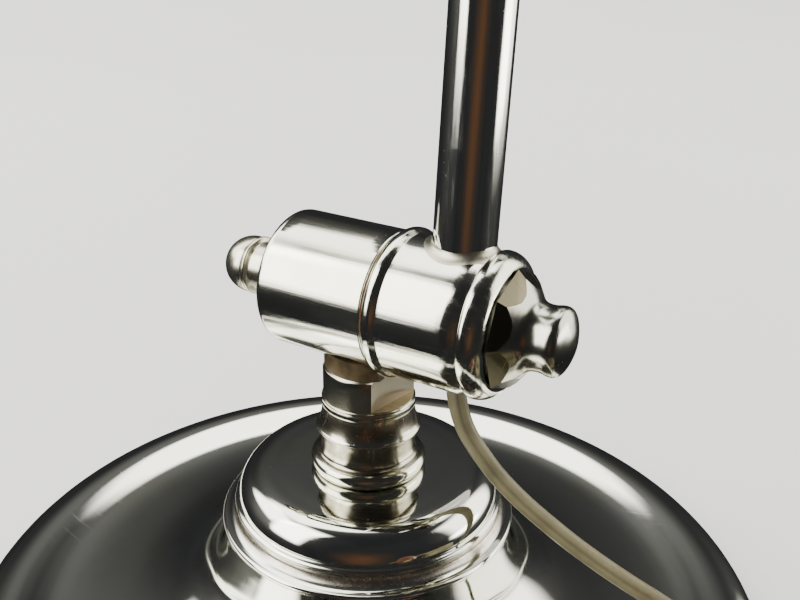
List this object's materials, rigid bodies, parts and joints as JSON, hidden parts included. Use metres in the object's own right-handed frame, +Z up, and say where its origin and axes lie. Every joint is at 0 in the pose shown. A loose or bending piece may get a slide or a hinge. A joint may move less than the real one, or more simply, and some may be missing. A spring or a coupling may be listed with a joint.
{
  "type": "adjustable gooseneck desk lamp",
  "caption": "Desk lamp with a weighted round stepped base, swivelling post, clamped barrel joint, swan-neck arm and a tilting bell shade with lampholder, switch and flex.",
  "frame": {"origin": "centre of the underside of the round base, on the table", "axes": "+Z up out of the table, +X along the barrel joint's axis toward the clamp knob, +Y the way the arm leans and the shade hangs"},
  "size_m": [0.2445, 0.323, 0.4142],
  "materials": {
    "chrome": "polished nickel-chrome plate with fine scratches and a faint warm tinge",
    "brass": "plain machined brass, dulled",
    "steel": "zinc-plated steel, satin",
    "cast_iron": "rough black cast iron",
    "felt": "dense wool felt",
    "fibre": "vulcanised fibre, matt",
    "flex": "tan plastic-covered flex, semi-matt",
    "black_plastic": "black moulded plastic, semi-gloss",
    "brown_plastic": "brown moulded plastic, semi-gloss",
    "porcelain": "glazed white ceramic",
    "glass": "opal glass, satin"
  },
  "bodies": {
    "base": {"felt_pad": "felt", "base_plate": "steel", "plate_screws": "brass", "base_weight": "cast_iron", "base_shell": "chrome", "spindle": "brass", "spindle_nut": "brass", "spindle_washer": "steel", "spacer_sleeve": "brass", "dome_washer": "steel", "neck_collar": "chrome", "stop_pin": "steel", "swivel_friction_washer": "fibre", "swivel_spring_washer": "steel", "swivel_lock_nut": "brass", "cord_lead": "flex", "cord_coil": "flex", "cord_tail": "flex", "coil_tie": "black_plastic", "plug_body": "brown_plastic", "plug_pins": "brass", "plug_screw": "steel"},
    "swivel": {"swivel_post": "chrome", "post_stud": "brass", "saddle_washer": "brass", "stud_saddle": "steel", "stud_nut": "brass", "fixed_barrel": "chrome", "clamp_bolt": "steel", "end_washer": "chrome", "dome_nut": "chrome", "friction_disc": "fibre"},
    "arm": {"arm_barrel": "chrome", "end_cap": "chrome", "arm_tube": "chrome", "cord_bush": "black_plastic", "inner_lead": "flex", "fork": "chrome", "pivot_screw": "chrome"},
    "clamp": {"clamp_knob": "chrome", "knob_washer": "steel"},
    "shade": {"tilt_eye": "chrome", "lampholder_cap": "chrome", "lampholder_body": "black_plastic", "insulator": "porcelain", "screw_shell": "brass", "centre_contact": "brass", "terminal_screws": "brass", "holder_lead": "flex", "switch_body": "black_plastic", "shade": "chrome", "shade_ring": "black_plastic", "bulb_cap": "steel", "bulb_glass": "glass"},
    "tilt_screw": {"thumb_screw": "chrome"},
    "switch": {"switch_spindle": "brass", "switch_knob": "black_plastic"}
  },
  "joints": [
    {"name": "post_swivel", "type": "hinge", "parent": "base", "child": "swivel", "pos_m": [0, 0, 0.0524], "axis": [0, 0, 1], "range_deg": [-90, 90]},
    {"name": "arm_tilt", "type": "hinge", "parent": "swivel", "child": "arm", "pos_m": [0.0068, 0, 0.0824], "axis": [1, 0, 0], "range_deg": [-40, 60]},
    {"name": "clamp_knob_turn", "type": "hinge", "parent": "swivel", "child": "clamp", "pos_m": [0.0345, 0, 0.0824], "axis": [1, 0, 0], "range_deg": [-180, 20]},
    {"name": "shade_tilt", "type": "hinge", "parent": "arm", "child": "shade", "pos_m": [0.0209, 0.13585, 0.33561], "axis": [1, 0, 0], "range_deg": [-40, 50]},
    {"name": "tilt_screw_turn", "type": "hinge", "parent": "arm", "child": "tilt_screw", "pos_m": [0.0329, 0.13585, 0.33561], "axis": [1, 0, 0], "range_deg": [-180, 20]},
    {"name": "switch_turn", "type": "hinge", "parent": "shade", "child": "switch", "pos_m": [0.0209, 0.14417, 0.30678], "axis": [-1, 0, 0], "range_deg": [0, 90]}
  ]
}
